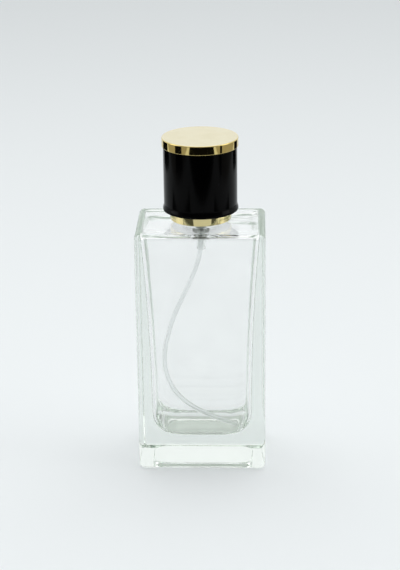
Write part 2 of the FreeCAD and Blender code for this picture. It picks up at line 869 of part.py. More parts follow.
def collar_retainer():
    """Plastic snap ring inside the collar that hooks under the crimp."""
    step = collar_flange_top - size("collar_sheet") - size("press_clearance")
    hook_top = ferrule_bottom - size("press_clearance")
    top = ferrule_top + size("retainer_cover")
    return turned_piece(
        "collar_retainer",
        [
            (size("retainer_snap_radius"), collar_bottom + size("retainer_lift")),
            (
                size("collar_flange_radius") - size("collar_sheet") - size("press_clearance"),
                collar_bottom + size("retainer_lift"),
            ),
            (size("collar_flange_radius") - size("collar_sheet") - size("press_clearance"), step),
            (collar_sleeve_inner - size("press_clearance"), step),
            (collar_sleeve_inner - size("press_clearance"), top),
            (ferrule_radius + size("press_clearance"), top),
            (ferrule_radius + size("press_clearance"), hook_top),
            (size("retainer_snap_radius"), hook_top),
        ],
    )


def cap_shell():
    """Black cap: a straight cup that flares at its rim, with a raised ring on top for the lid."""
    flare_foot = cap_bottom + size("cap_rim_height")
    flare_head = cap_bottom + size("cap_flare_height")
    boss_radius = lid_inner_radius - size("press_clearance")
    boss_top = cap_top + size("lid_boss_height")
    return turned_piece(
        "cap_shell",
        [
            (cap_inner_radius, cap_bottom),
            (size("cap_rim_radius"), cap_bottom),
            (size("cap_rim_radius"), flare_foot),
            (size("cap_radius"), flare_head),
            (size("cap_radius"), cap_top),
            (boss_radius, cap_top),
            (boss_radius, boss_top),
            (boss_radius - size("lid_boss_wall"), boss_top),
            (boss_radius - size("lid_boss_wall"), cap_top),
            (ZERO, cap_top),
            (ZERO, cap_ceiling),
            (cap_inner_radius, cap_ceiling),
        ],
    )


def cap_lid():
    """Gold disc with a band, seated on the cap's top."""
    body = new_body("cap_lid")
    under_top = lid_top - size("lid_top_thickness")
    turn(
        body,
        "lid",
        [
            (lid_inner_radius, cap_top),
            (size("lid_radius"), cap_top),
            (size("lid_radius"), lid_top),
            (ZERO, lid_top),
            (ZERO, under_top),
            (lid_inner_radius, under_top),
        ],
    )
    round_edges(body, "lid_edge", size("lid_edge_radius"), lambda e: circle_at(e, size("lid_radius"), lid_top))
    return body


def cap_liner():
    """Plastic cup that grips the collar's sleeve, with a flange, a top disc and ribs out to the cap."""
    body = new_body("cap_liner")
    flange_top = liner_bottom + size("liner_flange_thickness")
    turn(
        body,
        "liner",
        [
            (liner_bore_radius, liner_bottom),
            (liner_radius, liner_bottom),
            (liner_radius, flange_top),
            (liner_tube_radius, flange_top),
            (liner_tube_radius, liner_ceiling),
            (liner_radius, liner_ceiling),
            (liner_radius, liner_top),
            (ZERO, liner_top),
            (ZERO, liner_ceiling),
            (liner_bore_radius, liner_ceiling),
        ],
    )
    sketch = new_sketch(body, "rib_outline", "XZ_Plane")
    overlap = size("liner_wall") / 2
    draw_outline(sketch, ring(liner_tube_radius - overlap, liner_radius, flange_top, liner_ceiling))
    rib = body.newObject("PartDesign::Pad", "rib")
    rib.Profile = sketch
    rib.Midplane = True
    rib.setExpression("Length", "sizes.liner_rib_thickness")
    doc.recompute()
    ribs = body.newObject("PartDesign::PolarPattern", "ribs")
    ribs.Originals = [rib]
    ribs.Axis = (sketch, ["V_Axis"])
    ribs.Angle = 360
    ribs.setExpression("Occurrences", "sizes.liner_rib_count")
    body.Tip = ribs
    return body


def plain_rings():
    """Gasket on the neck, seal round the stem, and the bush above it."""
    gasket_hole = size("housing_radius") + size("slide_clearance")
    turned_piece("neck_gasket", ring(gasket_hole, size("gasket_radius"), neck_top, gasket_top))
    turned_piece("stem_seal", ring(stem_hole_radius, size("seal_radius"), seal_bottom, housing_top))
    turned_piece("housing_closure", ring(stem_hole_radius, size("closure_radius"), housing_top, closure_top))


def pieces():
    """Every sub-part: the bodies and the free shapes that carry a node's name."""
    kinds = ("PartDesign::Body", "Part::Feature", "Part::Sphere")
    return [item for item in doc.Objects if item.TypeId in kinds]


def write_pieces():
    """Check every object of the document, then write one file for each sub-part."""
    for item in doc.Objects:
        if "Invalid" in item.State or "Error" in item.State:
            raise RuntimeError(f"{item.Name} failed: {item.State}")
    for item in pieces():
        if item.Shape.isNull() or not item.Shape.isValid():
            raise RuntimeError(f"{item.Label} has no valid shape")
    os.makedirs("parts", exist_ok=True)
    for item in pieces():
        item.Shape.exportStep(f"parts/{item.Label}.step")


glass_bottle()
plain_rings()
crimp_ferrule()
pump_housing()
stem()
piston_rod()
piston()
check_ball()
springs()
dip_tube()
actuator_core()
actuator_shell()
nozzle_insert()
collar_shell()
collar_retainer()
cap_shell()
cap_lid()
cap_liner()
doc.recompute()
write_pieces()
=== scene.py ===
import math

import bpy
from mathutils import Matrix, Vector


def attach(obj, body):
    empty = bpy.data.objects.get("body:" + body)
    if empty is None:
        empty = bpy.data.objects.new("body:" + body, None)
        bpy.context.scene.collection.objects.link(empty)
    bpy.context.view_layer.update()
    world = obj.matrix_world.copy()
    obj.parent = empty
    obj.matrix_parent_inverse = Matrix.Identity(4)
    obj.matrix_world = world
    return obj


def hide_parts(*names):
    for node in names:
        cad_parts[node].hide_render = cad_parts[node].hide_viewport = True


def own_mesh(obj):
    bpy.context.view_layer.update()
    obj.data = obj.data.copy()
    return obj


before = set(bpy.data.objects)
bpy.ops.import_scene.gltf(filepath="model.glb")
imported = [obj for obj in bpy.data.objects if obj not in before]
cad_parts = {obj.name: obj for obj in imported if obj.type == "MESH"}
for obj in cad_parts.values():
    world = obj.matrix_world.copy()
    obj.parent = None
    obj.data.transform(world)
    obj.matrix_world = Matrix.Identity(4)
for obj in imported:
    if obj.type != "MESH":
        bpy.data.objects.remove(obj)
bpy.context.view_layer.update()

# The dressed spray bottle: clear thick-walled glass, gold collar, black cap with a gold lid,
# pump and dip tube. Sizes are in millimetres, in the frame of the solids, and are turned into
# metres where a mesh is made.

MM = 0.001

# glass
BOTTLE_WIDTH = 54.0
BOTTLE_DEPTH = 38.3
SHOULDER_HEIGHT = 106.1
EDGE_RADIUS = 2.3
CAVITY_FLOOR = 14.2
CAVITY_CEILING = 104.4
WALL_LOW = 5.8
SIDE_WALL_HIGH = 2.4
FRONT_WALL_HIGH = 1.5
WALL_FLARE = 2.2
FLOOR_SIDE_RADIUS = 10.4
FLOOR_FRONT_RADIUS = 2.4
CAVITY_CORNER_RADIUS = 2.8
CAVITY_SHOULDER_RADIUS = 0.8
RECESS_MARGIN = 5.3
RECESS_DEPTH = 1.5
RECESS_CORNER_RADIUS = 6.0
RECESS_EDGE_RADIUS = 1.45
NECK_TOP = 115.7
NECK_RADIUS = 6.45
NECK_ROOT = 0.9
NECK_ROOT_SHARE = 0.3
BEAD_RADIUS = 7.5
BEAD_BOTTOM = 112.5
BEAD_UNDER_ROUND = 0.3
BEAD_TOP_ROUND = 0.45
BORE_RADIUS = 4.7
BORE_START = 2.4
BORE_MOUTH_REACH = 3.6
BORE_BELL_REACH = 1.9
BORE_BELL_RISE = 0.6
BORE_BELL_ROUND = 2.0
BORE_THROAT_RISE = 3.4
BORE_THROAT_ROUND = 1.5
BORE_OVERSHOOT = 1.0

# cap and collar
CAP_BOTTOM = 111.9
CAP_TOP = 139.0
CAP_RADIUS = 15.3
CAP_RIM_RADIUS = 15.75
CAP_INNER_RADIUS = 13.9
CAP_CEILING = 138.2
CAP_RIM_ROUND = 0.3
CAP_TOP_ROUND = 0.15
FLARE_START = 0.5
FLARE_LENGTH = 2.3
BOSS_RADIUS = 14.33
BOSS_WALL = 1.4
BOSS_TOP = 141.4
LID_RADIUS = 15.85
LID_INNER_RADIUS = 14.35
LID_TOP = 142.8
LID_UNDER_TOP = 141.6
LID_BAND_ROUND = 0.2
LID_TOP_ROUND = 0.4
COLLAR_BOTTOM = 107.9
COLLAR_STEP = 112.3
COLLAR_TOP = 122.0
COLLAR_RADIUS = 12.75
SLEEVE_RADIUS = 9.2
COLLAR_MOUTH_RADIUS = 6.9
COLLAR_SHEET = 0.5
COLLAR_BOTTOM_ROUND = 0.2
COLLAR_STEP_ROUND = 0.4
SLEEVE_TOP_ROUND = 0.45
COLLAR_MOUTH_ROUND = 0.15

# pump and button
FLANGE_TOP = 117.8
FLANGE_BOTTOM = 116.6
FLANGE_RADIUS = 6.6
FLANGE_ROUND = 0.2
HOUSING_RADIUS = 3.55
CHAMBER_RADIUS = 2.65
CHAMBER_FLOOR = 103.9
HOUSING_STEP = 100.4
HOUSING_STEP_ROUND = 0.5
TAIL_RADIUS = 1.85
TAIL_END = 93.3
TAIL_ROUND = 0.15
SOCKET_RADIUS = 1.07
SOCKET_MOUTH_RADIUS = 1.32
SOCKET_MOUTH_TOP = 94.9
SOCKET_TOP = 98.65
INLET_RADIUS = 0.6
BALL_SEAT = 100.9
BALL_POCKET_RADIUS = 1.15
BALL_LIP_RADIUS = 0.85
BALL_LIP_BOTTOM = 103.5
PISTON_TOP = 113.8
STEM_BOTTOM = 116.2
BUTTON_SHELL_RADIUS = 6.25
BUTTON_SHELL_INNER = 5.92
BUTTON_SHELL_BOTTOM = 123.35
BUTTON_SHELL_TOP = 132.35
BUTTON_SHELL_SHEET = 0.33
BUTTON_BOTTOM_ROUND = 0.1
BUTTON_TOP_ROUND = 0.33
DISH_EDGE = 1.0
DISH_SLOPE_END = 2.5
DISH_SLOPE_DEPTH = 0.12
DISH_DEPTH = 0.18
SPRAY_LEVEL = 129.5
NOZZLE_RADIUS = 1.6
NOZZLE_LENGTH = 2.4
NOZZLE_SETBACK = 0.02
NOZZLE_EDGE = 0.15
NOZZLE_STEPS = ((0.35, 0.25), (0.80, 0.15), (0.05, 1.0))
WINDOW_PLAY = 0.05
WINDOW_LENGTH = 4.0
RETURN_SPRING_LENGTH = 7.1
RETURN_COIL_RADIUS = 1.85
RETURN_WIRE = 0.45
RETURN_TURNS = 4.5
PRECOMPRESSION_COIL_RADIUS = 1.6
PRECOMPRESSION_WIRE = 0.3
PRECOMPRESSION_TURNS = 2.5
SPRING_PLAY = 0.02

# dip tube
TUBE_RADIUS = 1.05
TUBE_WALL = 0.45
TUBE_ROUTE = [
    (0.0, 0.0, 98.6),
    (0.0, 0.0, 91.5),
    (-4.0, -2.0, 81.0),
    (-8.5, -2.0, 72.0),
    (-12.5, -2.0, 63.0),
    (-15.5, -2.0, 52.5),
    (-16.5, -2.0, 43.0),
    (-14.5, -2.5, 34.5),
    (-9.5, -3.5, 27.0),
    (2.0, -4.5, 20.0),
    (14.9, -6.4, 16.6),
]

# fineness of the meshes
OUTER_EDGE_SEGMENTS = 12
CORNER_SEGMENTS = 10
RECESS_EDGE_SEGMENTS = 6
NOZZLE_EDGE_SEGMENTS = 3
FLOOR_RINGS = 24
WALL_RINGS = 40
CEILING_RINGS = 8
FLARE_STEPS = 8
CAP_TURN_STEPS = 160
PUMP_TURN_STEPS = 64
NOZZLE_SIDES = 64
WIRE_SIDES = 16
WIRE_STEPS_PER_TURN = 40
TUBE_STEPS = 40
TUBE_BEVEL_STEPS = 10

# a difference in place, in millimetres, that is only rounding
SAME_LEVEL = 1e-3
UPRIGHT = 1e-4

# studio, in metres
FLOOR_SIZE = 8.0
FLOOR_LEVEL = -0.0001
SHADE_LEVEL = -0.00005
SHADE_SIZE = (0.0494, 0.0337)
LIGHTS_AIM = (0.0, 0.0, 0.07)
SKY_STRENGTH = 1.13
LIGHT_BOUNCES = 40


class Flow:
    """A shader output that Python sums can use: each sum adds its Math node."""

    def __init__(self, tree, socket=None):
        self.tree = tree
        self.socket = socket

    def node(self, kind, settings=None, inputs=None, output=0):
        """Add a node, set it up, feed its sockets, and give one of its outputs."""
        made = self.tree.nodes.new(kind)
        for name, value in (settings or {}).items():
            if name == "stops":
                set_stops(made.color_ramp, value)
            else:
                setattr(made, name, value)
        for name, value in (inputs or {}).items():
            if isinstance(value, Flow):
                self.tree.links.new(value.socket, made.inputs[name])
            else:
                made.inputs[name].default_value = value
        return Flow(self.tree, made.outputs[output]) if made.outputs else None

    def sum(self, operation, first, second):
        return self.node("ShaderNodeMath", {"operation": operation}, {0: first, 1: second})

    def __add__(self, other):
        return self.sum("ADD", self, other)

    def __radd__(self, other):
        return self.sum("ADD", other, self)

    def __sub__(self, other):
        return self.sum("SUBTRACT", self, other)

    def __rsub__(self, other):
        return self.sum("SUBTRACT", other, self)

    def __mul__(self, other):
        return self.sum("MULTIPLY", self, other)

    def __rmul__(self, other):
        return self.sum("MULTIPLY", other, self)


def set_stops(ramp, stops):
    """Give a colour ramp its stops, each a place and a colour or a grey."""
    while len(ramp.elements) < len(stops):
        ramp.elements.new(1.0)
    for element, (place, colour) in zip(ramp.elements, stops):
        element.position = place
        element.color = (*colour, 1.0) if isinstance(colour, tuple) else (colour, colour, colour, 1.0)


def new_finish(name):
    """An empty material and the start of its shader."""
    material = bpy.data.materials.new(name)
    material.use_nodes = True
    material.node_tree.nodes.clear()
    return material, Flow(material.node_tree)


def place(flow):
    """The piece's own coordinates, in metres."""
    return flow.node("ShaderNodeTexCoord", output="Object")


def along(flow, vector, axis):
    """One of a vector's three numbers."""
    return flow.node("ShaderNodeSeparateXYZ", inputs={0: vector}, output=axis)


def size_of(flow, value):
    """A value without its sign."""
    return flow.sum("MAXIMUM", value, 0.0 - value)


def blend(flow, share, first, second):
    """A colour between two colours."""
    inputs = {"Factor": share, "A": first, "B": second}
    return flow.node("ShaderNodeMix", {"data_type": "RGBA"}, inputs, output=2)


def noise(flow, scale, detail=2.0, roughness=0.5, stretch=(1.0, 1.0, 1.0), shift=(0.0, 0.0, 0.0)):
    """Cloudy noise about the piece, drawn out along an axis whose stretch is below 1."""
    inputs = {0: place(flow), 1: stretch, 2: shift}
    where = flow.node("ShaderNodeVectorMath", {"operation": "MULTIPLY_ADD"}, inputs)
    inputs = {"Vector": where, "Scale": scale, "Detail": detail, "Roughness": roughness}
    return flow.node("ShaderNodeTexNoise", inputs=inputs)


def ramp(flow, value, *stops):
    """A colour ramp through its stops."""
    return flow.node("ShaderNodeValToRGB", {"stops": stops}, {"Fac": value})


def relief(flow, height, strength, depth):
    """A bump of some depth in metres."""
    inputs = {"Strength": strength, "Distance": depth, "Height": height}
    return flow.node("ShaderNodeBump", inputs=inputs)


def surface(flow, volume=None, **sockets):
    """End a material in a Principled shader; its sockets are named with underscores for spaces."""
    inputs = {name.replace("_", " "): value for name, value in sockets.items()}
    ends = {"Surface": flow.node("ShaderNodeBsdfPrincipled", inputs=inputs)}
    if volume:
        ends["Volume"] = volume
    flow.node("ShaderNodeOutputMaterial", inputs=ends)


def between(flow, value, low, high):
    """A smooth step from 0 to 1 between two places in millimetres."""
    inputs = {"Value": value, "From Min": low * MM, "From Max": high * MM}
    return flow.node("ShaderNodeMapRange", {"interpolation_type": "SMOOTHSTEP"}, inputs)


def clear_glass():
    """Clear flint glass: smooth outside, wavy inside as pressed, green where light runs along it.

    The waves are faint down the walls and stronger under the shoulder, most of all on the ceiling.
    """
    faint, under_shoulder, on_ceiling = 0.03, 4.5, 12.0
    material, flow = new_finish("clear_glass")
    x, y, z = (along(flow, place(flow), axis) for axis in range(3))
    aside = size_of(flow, x)
    from_side = BOTTLE_WIDTH / 2 * MM - aside
    from_front = BOTTLE_DEPTH / 2 * MM - size_of(flow, y)
    from_wall = flow.sum("MINIMUM", from_side, from_front)
    from_outside = flow.sum("MINIMUM", from_wall, SHOULDER_HEIGHT * MM - z)
    inside = between(flow, from_outside, 0.7, 1.2)
    high = between(flow, z, 100.0, 103.6)
    beside_pump = between(flow, aside, 4.0, 10.0)
    strength = under_shoulder + between(flow, from_wall, 3.0, 8.0) * on_ceiling
    swells = noise(flow, 45.0, 1.5, stretch=(0.5, 1.2, 1.0), shift=(0.0, 0.031, 0.0)) - 0.5
    ripples = noise(flow, 45.0, 1.5) * faint
    waves = inside * (ripples + swells * high * beside_pump * strength)
    absorbed = {"Color": (0.635, 0.73, 0.645, 1.0), "Density": 10.0}
    surface(
        flow,
        volume=flow.node("ShaderNodeVolumeAbsorption", inputs=absorbed),
        Base_Color=ramp(flow, noise(flow, 90.0), (0.3, 0.97), (0.7, 1.0)),
        Transmission_Weight=1.0,
        Roughness=0.0,
        IOR=1.51,
        Normal=relief(flow, waves, 1.0, 0.00025),
    )
    return material


def black_gloss():
    """Glossy black plastic with a breath of dust and fine unevenness in its polish."""
    material, flow = new_finish("black_gloss")
    dust = ramp(flow, noise(flow, 2600.0, 3.0), (0.66, 0.0), (0.78, 1.0))
    polish = noise(flow, 160.0, 4.0)
    surface(
        flow,
        Base_Color=blend(flow, dust, (0.0004, 0.0004, 0.0005, 1.0), (0.004, 0.004, 0.004, 1.0)),
        Roughness=0.05 + polish * 0.06 + dust * 0.1,
        IOR=1.49,
        Specular_IOR_Level=0.06,
        Normal=relief(flow, polish, 0.02, 0.0003),
    )
    return material


def gold_anodised(name, deep, light):
    """Polished gold anodised sheet: warm on its sides, paler and finely speckled on flat tops."""
    material, flow = new_finish(name)
    specks = ramp(flow, noise(flow, 1500.0, 4.0, 0.7), (0.60, 0.0), (0.74, 1.0))
    clouds = noise(flow, 130.0, 3.0)
    up = along(flow, flow.node("ShaderNodeNewGeometry", output="Normal"), 2)
    flat_top = ramp(flow, up, (0.80, 0.0), (0.97, 1.0))
    warm = blend(flow, clouds, (*deep, 1.0), (*light, 1.0))
    mist = noise(flow, 70.0, 5.0, 0.6)
    haze = blend(flow, mist, (0.79, 0.74, 0.55, 1.0), (0.66, 0.58, 0.36, 1.0))
    pale = blend(flow, specks * 0.8, haze, (0.50, 0.38, 0.18, 1.0))
    surface(
        flow,
        Base_Color=blend(flow, flat_top, warm, pale),
        Metallic=1.0,
        Roughness=0.02 + clouds * 0.05 + flat_top * 0.2,
        Normal=relief(flow, clouds, 0.03, 0.0003),
    )
    return material


def moulded_plastic(name, dark, light, roughness):
    """Moulded plastic: a slight cloudiness in colour and a fine grain in its gloss."""
    material, flow = new_finish(name)
    clouds = noise(flow, 220.0, 3.0)
    grain = noise(flow, 3200.0, 2.0)
    surface(
        flow,
        Base_Color=ramp(flow, clouds, (0.3, dark), (0.7, light)),
        Roughness=roughness - 0.05 + grain * 0.1,
        Normal=relief(flow, grain, 0.03, 0.00005),
    )
    return material


def pump_plastic():
    """Translucent plastic without pigment; the pump body above the step has a darker colour, a
    painted shade for the shadow it stands in inside the neck under the ferrule, while the thin tail
    keeps the plastic's own light colour.
    """
    material, flow = new_finish("pump_plastic")
    height = along(flow, place(flow), 2)
    clouds = noise(flow, 220.0, 3.0)
    grain = noise(flow, 3200.0, 2.0)
    thin = ramp(flow, clouds, (0.3, (0.93, 0.95, 0.94)), (0.7, (0.97, 0.98, 0.97)))
    # painted shade: this darker colour, mixed in above the step by in_body, stands for the shadow
    # inside the neck under the ferrule
    body_painted_shade = ramp(flow, clouds, (0.3, (0.50, 0.52, 0.49)), (0.7, (0.56, 0.58, 0.55)))
    in_body = between(flow, height, HOUSING_STEP - 0.3, HOUSING_STEP + 0.3)
    surface(
        flow,
        Base_Color=blend(flow, in_body, thin, body_painted_shade),
        Roughness=0.03 + grain * 0.06 + in_body * 0.4,
        Normal=relief(flow, grain, 0.03, 0.00005),
        Transmission_Weight=0.9,
        IOR=1.2,
    )
    return material


def clear_tubing():
    """Clear soft plastic tubing, slightly milky, that dims what is behind it, most at its edges."""
    material, flow = new_finish("clear_tubing")
    clouds = noise(flow, 120.0, 2.0)
    milk = ramp(flow, clouds, (0.3, (0.95, 0.96, 0.96)), (0.7, (0.98, 0.99, 0.99)))
    absorbed = {"Color": (0.52, 0.52, 0.50, 1.0), "Density": 95.0}
    surface(
        flow,
        volume=flow.node("ShaderNodeVolumeAbsorption", inputs=absorbed),
        Base_Color=milk,
        Roughness=0.02,
        Transmission_Weight=0.96,
        IOR=1.16,
    )
    return material


def lacquered_sheet():
    """Gold lacquered aluminium sheet with faint rolling marks along X."""
    material, flow = new_finish("lacquered_sheet")
    inputs = {"Vector": place(flow), "Scale": (40.0, 1600.0, 1600.0)}
    stretched = flow.node("ShaderNodeMapping", inputs=inputs)
    inputs = {"Vector": stretched, "Scale": 1.0, "Detail": 3.0}
    marks = flow.node("ShaderNodeTexNoise", inputs=inputs)
    surface(
        flow,
        Base_Color=ramp(flow, marks, (0.3, (0.80, 0.66, 0.36)), (0.7, (0.87, 0.76, 0.48))),
        Metallic=1.0,
        Roughness=0.22 + marks * 0.12,
        Normal=relief(flow, marks, 0.08, 0.0001),
    )
    return material


def drawn_wire():
    """Drawn spring steel, finely streaked."""
    material, flow = new_finish("drawn_wire")
    streaks = noise(flow, 2400.0, 3.0)
    surface(
        flow,
        Base_Color=ramp(flow, streaks, (0.3, 0.50), (0.7, 0.66)),
        Metallic=1.0,
        Roughness=0.22 + streaks * 0.15,
    )
    return material


def start(add, **settings):
    """Deselect everything, add a primitive, and put its place into its mesh."""
    bpy.ops.object.select_all(action="DESELECT")
    add(**settings)
    bpy.ops.object.transform_apply(location=True, rotation=True, scale=True)
    return bpy.context.object


def mode(name):
    """Go to object or edit mode."""
    bpy.ops.object.mode_set(mode=name)


def pick(piece, kind, chosen):
    """Go to edit mode with only the chosen edges or faces selected.

    They are tested on their corners, in millimetres.
    """
    mode("EDIT")
    bpy.ops.mesh.select_mode(type=kind)
    bpy.ops.mesh.select_all(action="DESELECT")
    mode("OBJECT")
    parts = piece.data.edges if kind == "EDGE" else piece.data.polygons
    for part in parts:
        part.select = chosen([piece.data.vertices[v].co / MM for v in part.vertices])
    mode("EDIT")


def smooth(piece, degrees=30.0):
    """Shade a finished mesh smooth, but keep its creases and its flats flat."""
    mode("OBJECT")
    bpy.ops.object.select_all(action="DESELECT")
    piece.select_set(True)
    bpy.context.view_layer.objects.active = piece
    bpy.ops.object.shade_smooth_by_angle(angle=math.radians(degrees))
    weighted = piece.modifiers.new("flats", "WEIGHTED_NORMAL")
    weighted.keep_sharp = True
    bpy.ops.object.modifier_apply(modifier=weighted.name)


def dress(piece, node, body, finish):
    """Give a piece its finish and let it stand for a solid on its body."""
    piece.name = node + "_dressed"
    piece.data.materials.clear()
    piece.data.materials.append(finish)
    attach(piece, body)
    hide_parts(node)


def boolean(piece, tool, operation):
    """Join a tool to a piece or cut it out, and remove the tool."""
    bpy.ops.object.select_all(action="DESELECT")
    piece.select_set(True)
    bpy.context.view_layer.objects.active = piece
    modifier = piece.modifiers.new(operation.lower(), "BOOLEAN")
    modifier.operation = operation
    modifier.solver = "EXACT"
    modifier.object = tool
    bpy.ops.object.modifier_apply(modifier=modifier.name)
    bpy.data.objects.remove(tool)


def rounded(profile, steps=6):
    """A profile of (radius, height) points in which a third number rounds that corner."""
    points = []
    count = len(profile)
    for i, corner in enumerate(profile):
        here = Vector(corner[:2])
        if len(corner) == 2:
            points.append(here)
            continue
        back = (Vector(profile[i - 1][:2]) - here).normalized()
        ahead = (Vector(profile[(i + 1) % count][:2]) - here).normalized()
        half = back.angle(ahead) / 2
        reach = corner[2] / math.tan(half)
        centre = here + (back + ahead).normalized() * (corner[2] / math.sin(half))
        first = here + back * reach - centre
        last = here + ahead * reach - centre
        for k in range(steps + 1):
            points.append(centre + first.slerp(last, k / steps).normalized() * corner[2])
    return points


def turned(profile, steps=128):
    """A closed solid turned about the bottle's axis: its profile is drawn, then spun."""
    points = rounded(profile)
    if points[0].x > 0 or points[-1].x > 0:
        points.append(points[0])
    first = points[0] * MM
    piece = start(bpy.ops.mesh.primitive_plane_add, size=MM, location=(first.x, 0.0, first.y))
    mode("EDIT")
    bpy.ops.mesh.select_mode(type="VERT")
    bpy.ops.mesh.select_all(action="SELECT")
    bpy.ops.mesh.merge(type="CENTER")
    for here, there in zip(points, points[1:]):
        step = (there - here) * MM
        bpy.ops.mesh.extrude_region_move(TRANSFORM_OT_translate={"value": (step.x, 0.0, step.y)})
    bpy.ops.mesh.select_all(action="SELECT")
    bpy.ops.mesh.spin(steps=steps, angle=2 * math.pi, center=(0, 0, 0), axis=(0, 0, 1))
    bpy.ops.mesh.select_all(action="SELECT")
    bpy.ops.mesh.remove_doubles(threshold=1e-6)
    bpy.ops.mesh.delete_loose()
    bpy.ops.mesh.select_all(action="SELECT")
    bpy.ops.mesh.normals_make_consistent(inside=False)
    mode("OBJECT")
    return piece


def upright(ends):
    """Whether an edge climbs, and so isn't part of a level ring."""
    return abs(ends[0].z - ends[1].z) > UPRIGHT


def cavity_wall(height, thinnest):
    """Glass thickness round the inside: thick at the floor, thin under the shoulder."""
    share = (height - CAVITY_FLOOR) / (CAVITY_CEILING - CAVITY_FLOOR)
    return WALL_LOW - (WALL_LOW - thinnest) * share**WALL_FLARE


def cavity_rings():
    """(height, half width, half depth) of the inside from its round-edged floor to its ceiling."""
    rings = []
    for k in range(FLOOR_RINGS + 1):
        angle = k / FLOOR_RINGS * math.pi / 2
        rise = FLOOR_SIDE_RADIUS * (1 - math.cos(angle))
        drop = max(0.0, 1 - rise / FLOOR_FRONT_RADIUS)
        side_inset = FLOOR_SIDE_RADIUS * (1 - math.sin(angle))
        front_inset = FLOOR_FRONT_RADIUS * (1 - math.sqrt(1 - drop * drop))
        rings.append((CAVITY_FLOOR + rise, side_inset, front_inset))
    wall_foot = CAVITY_FLOOR + FLOOR_SIDE_RADIUS
    wall_head = CAVITY_CEILING - CAVITY_SHOULDER_RADIUS
    for k in range(1, WALL_RINGS + 1):
        rings.append((wall_foot + (wall_head - wall_foot) * k / WALL_RINGS, 0.0, 0.0))
    for k in range(1, CEILING_RINGS + 1):
        angle = k / CEILING_RINGS * math.pi / 2
        inset = CAVITY_SHOULDER_RADIUS * (1 - math.cos(angle))
        rings.append((wall_head + CAVITY_SHOULDER_RADIUS * math.sin(angle), inset, inset))
    return [
        (
            z,
            BOTTLE_WIDTH / 2 - cavity_wall(z, SIDE_WALL_HIGH) - side_inset,
            BOTTLE_DEPTH / 2 - cavity_wall(z, FRONT_WALL_HIGH) - front_inset,
        )
        for z, side_inset, front_inset in rings
    ]


def cavity():
    """The inside as a solid: its floor is drawn up ring by ring, then its corners are rounded."""
    rings = cavity_rings()
    z, half_x, half_y = rings[0]
    middle = (0.0, 0.0, z * MM)
    inside = start(bpy.ops.mesh.primitive_plane_add, size=2 * half_x * MM, location=middle)
    mode("EDIT")
    bpy.ops.mesh.select_all(action="SELECT")
    bpy.ops.transform.resize(value=(1.0, half_y / half_x, 1.0), center_override=middle)
    for (z0, x0, y0), (z1, x1, y1) in zip(rings, rings[1:]):
        step = {"value": (0.0, 0.0, (z1 - z0) * MM)}
        bpy.ops.mesh.extrude_region_move(TRANSFORM_OT_translate=step)
        middle = (0.0, 0.0, z1 * MM)
        bpy.ops.transform.resize(value=(x1 / x0, y1 / y0, 1.0), center_override=middle)
    bpy.ops.mesh.select_all(action="SELECT")
    bpy.ops.mesh.normals_make_consistent(inside=False)
    pick(inside, "EDGE", upright)
    bpy.ops.mesh.bevel(offset=CAVITY_CORNER_RADIUS * MM, segments=CORNER_SEGMENTS, affect="EDGES")
    mode("OBJECT")
    return inside


def recess():
    """The shallow hollow under the base as a solid, with round corners and a soft upper edge."""
    width = (BOTTLE_WIDTH - 2 * RECESS_MARGIN) * MM
    depth = (BOTTLE_DEPTH - 2 * RECESS_MARGIN) * MM
    size = (width, depth, 2 * RECESS_DEPTH * MM)
    hollow = start(bpy.ops.mesh.primitive_cube_add, size=1.0, scale=size)
    pick(hollow, "EDGE", upright)
    bpy.ops.mesh.bevel(offset=RECESS_CORNER_RADIUS * MM, segments=CORNER_SEGMENTS, affect="EDGES")
    pick(hollow, "EDGE", lambda ends: all(p.z > RECESS_DEPTH - SAME_LEVEL for p in ends))
    bpy.ops.mesh.bevel(offset=RECESS_EDGE_RADIUS * MM, segments=RECESS_EDGE_SEGMENTS, affect="EDGES")
    mode("OBJECT")
    return hollow


def glass_bottle(finish):
    """Rounded block with a beaded neck, hollowed by the cavity, the bore and the base's recess."""
    size = (BOTTLE_WIDTH * MM, BOTTLE_DEPTH * MM, SHOULDER_HEIGHT * MM)
    middle = (0.0, 0.0, SHOULDER_HEIGHT / 2 * MM)
    bottle = start(bpy.ops.mesh.primitive_cube_add, size=1.0, location=middle, scale=size)
    mode("EDIT")
    bpy.ops.mesh.select_all(action="SELECT")
    bpy.ops.mesh.bevel(offset=EDGE_RADIUS * MM, segments=OUTER_EDGE_SEGMENTS, affect="EDGES")
    mode("OBJECT")
    inside_glass = (SHOULDER_HEIGHT + CAVITY_CEILING) / 2
    neck = [
        (0.0, inside_glass),
        (NECK_RADIUS + NECK_ROOT, inside_glass),
        (NECK_RADIUS + NECK_ROOT, SHOULDER_HEIGHT),
        (NECK_RADIUS + NECK_ROOT * NECK_ROOT_SHARE, SHOULDER_HEIGHT + NECK_ROOT * NECK_ROOT_SHARE),
        (NECK_RADIUS, SHOULDER_HEIGHT + NECK_ROOT),
        (NECK_RADIUS, BEAD_BOTTOM),
        (BEAD_RADIUS, BEAD_BOTTOM, BEAD_UNDER_ROUND),
        (BEAD_RADIUS, NECK_TOP, BEAD_TOP_ROUND),
        (0.0, NECK_TOP),
    ]
    below = CAVITY_CEILING - BORE_START
    mouth = BORE_RADIUS + BORE_MOUTH_REACH
    above = NECK_TOP + BORE_OVERSHOOT
    bore = [
        (0.0, below),
        (mouth, below),
        (mouth, CAVITY_CEILING),
        (BORE_RADIUS + BORE_BELL_REACH, CAVITY_CEILING + BORE_BELL_RISE, BORE_BELL_ROUND),
        (BORE_RADIUS, CAVITY_CEILING + BORE_THROAT_RISE, BORE_THROAT_ROUND),
        (BORE_RADIUS, above),
        (0.0, above),
    ]
    boolean(bottle, turned(neck), "UNION")
    boolean(bottle, cavity(), "DIFFERENCE")
    boolean(bottle, turned(bore), "DIFFERENCE")
    boolean(bottle, recess(), "DIFFERENCE")
    smooth(bottle, 20.0)
    bottle.visible_shadow = False
    dress(bottle, "glass_bottle", "bottle", finish)


